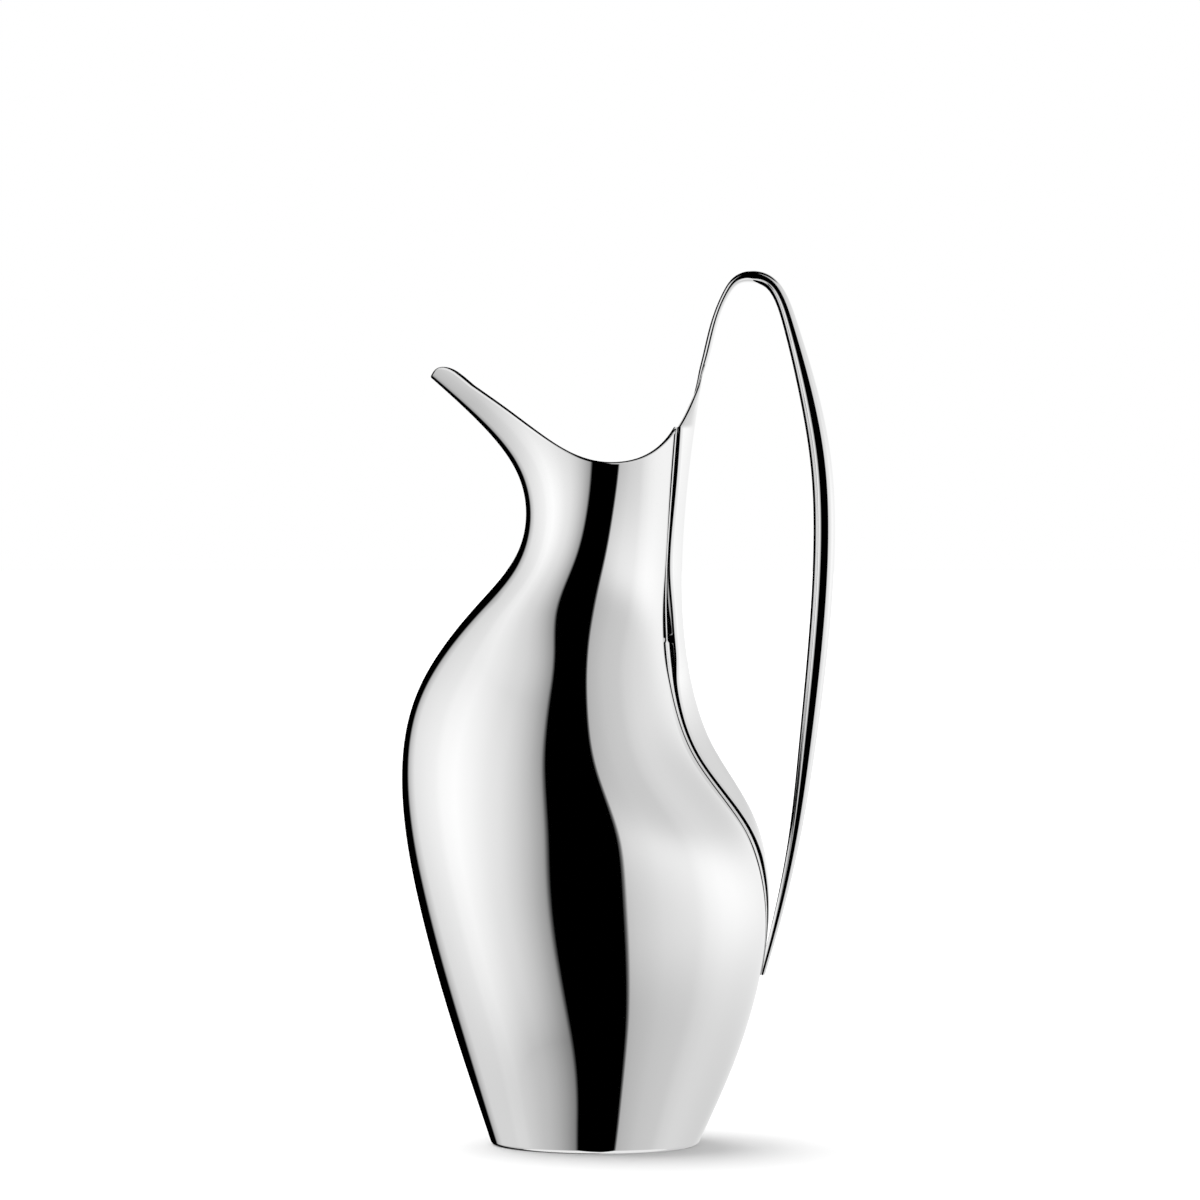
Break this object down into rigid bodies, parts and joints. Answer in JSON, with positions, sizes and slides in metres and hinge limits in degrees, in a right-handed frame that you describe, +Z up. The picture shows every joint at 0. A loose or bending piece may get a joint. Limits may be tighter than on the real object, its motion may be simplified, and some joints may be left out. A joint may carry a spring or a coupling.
{
  "type": "water pitcher",
  "caption": "Tall polished steel water pitcher with a beak spout, a swelling body on a small foot, a spine down the back and a high looped hollow handle.",
  "frame": {"origin": "on the table plane, in the middle of the foot ring that the pitcher stands on", "axes": "+Z up through the body, -X towards the spout, +X towards the handle, Y across; the pitcher is the same on both sides of the XZ plane"},
  "size_m": [0.1415, 0.0966, 0.2853],
  "materials": {
    "polished_steel": "mirror-polished stainless steel",
    "base_steel": "satin stainless steel, turned"
  },
  "bodies": {
    "root": {"left_body_half": "polished_steel", "right_body_half": "polished_steel", "base_plate": "base_steel", "base_weld": "base_steel", "back_spine": "polished_steel", "left_spine_weld": "polished_steel", "right_spine_weld": "polished_steel", "handle_outer_shell": "polished_steel", "handle_inner_shell": "polished_steel", "root_weld": "polished_steel", "tip_weld": "polished_steel"}
  },
  "joints": []
}
